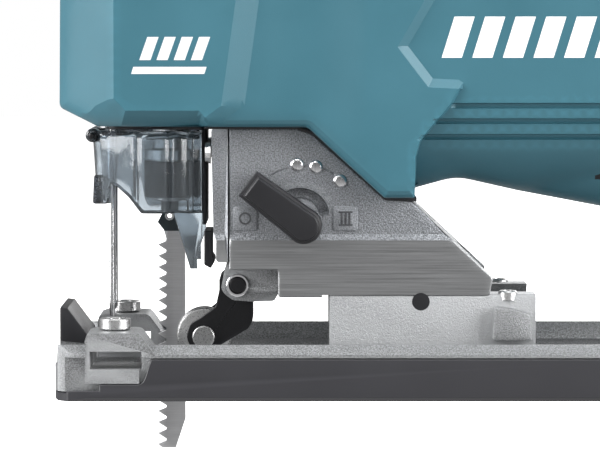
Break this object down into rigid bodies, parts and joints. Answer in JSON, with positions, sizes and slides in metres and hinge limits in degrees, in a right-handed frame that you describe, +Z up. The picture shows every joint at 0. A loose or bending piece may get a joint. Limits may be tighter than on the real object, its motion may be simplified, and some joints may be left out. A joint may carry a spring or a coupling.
{
  "type": "cordless jigsaw",
  "caption": "Cordless D-handle jigsaw with a die-cast tilting base, orbital roller guide, clear chip cover and slide-on battery.",
  "frame": {"origin": "middle of the sole's underside, on the tool's mid-plane", "axes": "+X to the rear (battery), +Y to the tool's right side, +Z up; the blade is at the front, towards -X"},
  "size_m": [0.25, 0.077, 0.2237],
  "materials": {
    "body_plastic": "fine moulded satin, teal",
    "rubber": "soft grip overmould",
    "cast_aluminium": "sand-blasted die casting with machined faces",
    "guide_aluminium": "satin casting",
    "black_plastic": "moulded black",
    "black_steel": "black coated steel",
    "steel": "turned steel",
    "blade_steel": "ground flat, dark shank",
    "bush_brass": "turned",
    "stator_copper": "wound and varnished",
    "smoked_clear": "clear smoked polycarbonate",
    "lens_clear": "frosted lens",
    "board": "solder resist",
    "cell_wrap": "shrink wrap",
    "latch_plastic": "moulded teal"
  },
  "bodies": {
    "housing": {"housing_left": "body_plastic", "housing_right": "body_plastic", "housing_screw_1": "steel", "housing_screw_2": "steel", "housing_screw_3": "steel", "housing_screw_4": "steel", "housing_screw_5": "steel", "grip_pad_left": "rubber", "grip_pad_right": "rubber", "gear_housing": "cast_aluminium", "gear_housing_cover": "cast_aluminium", "cover_screw_left": "steel", "cover_screw_right": "steel", "front_hook": "black_plastic", "guide_pivot_pin": "steel", "retainer_pin": "steel", "gear_bearing_front": "steel", "gear_bearing_rear": "steel", "motor_bearing_front": "steel", "motor_bearing_rear": "steel", "stator": "stator_copper", "sensor_board": "board", "controller_board": "board", "switch_body": "black_plastic", "terminal_block": "black_plastic", "lamp_lens": "lens_clear", "wire_guard": "steel", "bevel_bolt": "steel"},
    "base": {"base": "cast_aluminium", "cover_plate": "black_plastic", "shoe_screw_1": "steel", "shoe_screw_2": "steel", "fence_screw_left": "steel", "fence_screw_right": "steel"},
    "guide": {"plunger_guide": "guide_aluminium", "lower_bush": "bush_brass", "upper_bush": "bush_brass"},
    "plunger": {"plunger_rod": "steel", "blade_clamp": "steel", "clamp_spring": "steel", "blade": "blade_steel"},
    "collar": {"clamp_collar": "black_plastic"},
    "crank": {"crank_gear": "steel", "gear_shaft": "steel"},
    "rotor": {"motor_shaft": "steel", "rotor_core": "steel", "cooling_fan": "black_plastic"},
    "retainer": {"roller_retainer": "black_steel", "roller_pin": "steel"},
    "roller": {"roller": "steel"},
    "lever": {"orbital_lever": "black_plastic", "lever_shaft": "steel"},
    "cover": {"chip_cover": "smoked_clear"},
    "trigger": {"trigger": "black_plastic"},
    "lock": {"lock_button": "black_plastic"},
    "dial": {"speed_dial": "black_plastic"},
    "battery": {"battery_inner_case": "black_plastic", "battery_outer_case": "black_plastic", "cell_pack": "cell_wrap"},
    "latch": {"battery_latch": "latch_plastic"}
  },
  "joints": [
    {"name": "base_bevel", "type": "hinge", "parent": "housing", "child": "base", "pos_m": [0, 0, 0.014], "axis": [1, 0, 0], "range_deg": [-45, 45]},
    {"name": "retainer_swing", "type": "hinge", "parent": "housing", "child": "retainer", "pos_m": [-0.0311, 0, 0.0293], "axis": [0, 1, 0], "range_deg": [0, 8]},
    {"name": "guide_swing", "type": "hinge", "parent": "housing", "child": "guide", "pos_m": [-0.0582, 0, 0.1405], "axis": [0, 1, 0], "range_deg": [0, 1]},
    {"name": "blade_stroke", "type": "slide", "parent": "guide", "child": "plunger", "axis": [0, 0, 1], "range_m": [-0.013, 0.013]},
    {"name": "collar_turn", "type": "hinge", "parent": "plunger", "child": "collar", "pos_m": [-0.0498, 0, 0.058], "axis": [0, 0, 1], "range_deg": [0, 60], "stiffness_Nm_per_rad": 0.02, "springref_deg": -17.19},
    {"name": "crank_spin", "type": "hinge", "parent": "housing", "child": "crank", "pos_m": [-0.033, 0, 0.1045], "axis": [1, 0, 0], "continuous": true},
    {"name": "rotor_spin", "type": "hinge", "parent": "housing", "child": "rotor", "pos_m": [0.04, 0, 0.082], "axis": [1, 0, 0], "continuous": true},
    {"name": "roller_spin", "type": "hinge", "parent": "retainer", "child": "roller", "pos_m": [-0.0406, 0, 0.0146], "axis": [0, 1, 0], "continuous": true},
    {"name": "lever_turn", "type": "hinge", "parent": "housing", "child": "lever", "pos_m": [-0.013, -0.026, 0.0465], "axis": [0, 1, 0], "range_deg": [0, 70]},
    {"name": "chip_cover_hinge", "type": "hinge", "parent": "housing", "child": "cover", "pos_m": [-0.0715, 0, 0.0706], "axis": [0, 1, 0], "range_deg": [0, 95]},
    {"name": "trigger_pull", "type": "slide", "parent": "housing", "child": "trigger", "axis": [0, 0, 1], "range_m": [0, 0.005], "stiffness_N_per_m": 300, "springref_m": -0.008},
    {"name": "lock_press", "type": "slide", "parent": "housing", "child": "lock", "axis": [0, 1, 0], "range_m": [0, 0.003], "stiffness_N_per_m": 300, "springref_m": -0.004},
    {"name": "dial_turn", "type": "hinge", "parent": "housing", "child": "dial", "pos_m": [0.067, 0, 0.1965], "axis": [0, 1, 0], "range_deg": [0, 270]},
    {"name": "battery_slide", "type": "slide", "parent": "housing", "child": "battery", "axis": [0, 0, 1], "range_m": [0, 0.095]},
    {"name": "latch_press", "type": "slide", "parent": "battery", "child": "latch", "axis": [0, 0, -1], "range_m": [0, 0.003], "stiffness_N_per_m": 300, "springref_m": -0.004}
  ],
  "couplings": [
    {"joint": "guide_swing", "follows": "retainer_swing", "ratio": 0.125},
    {"joint": "rotor_spin", "follows": "crank_spin", "ratio": -4}
  ]
}
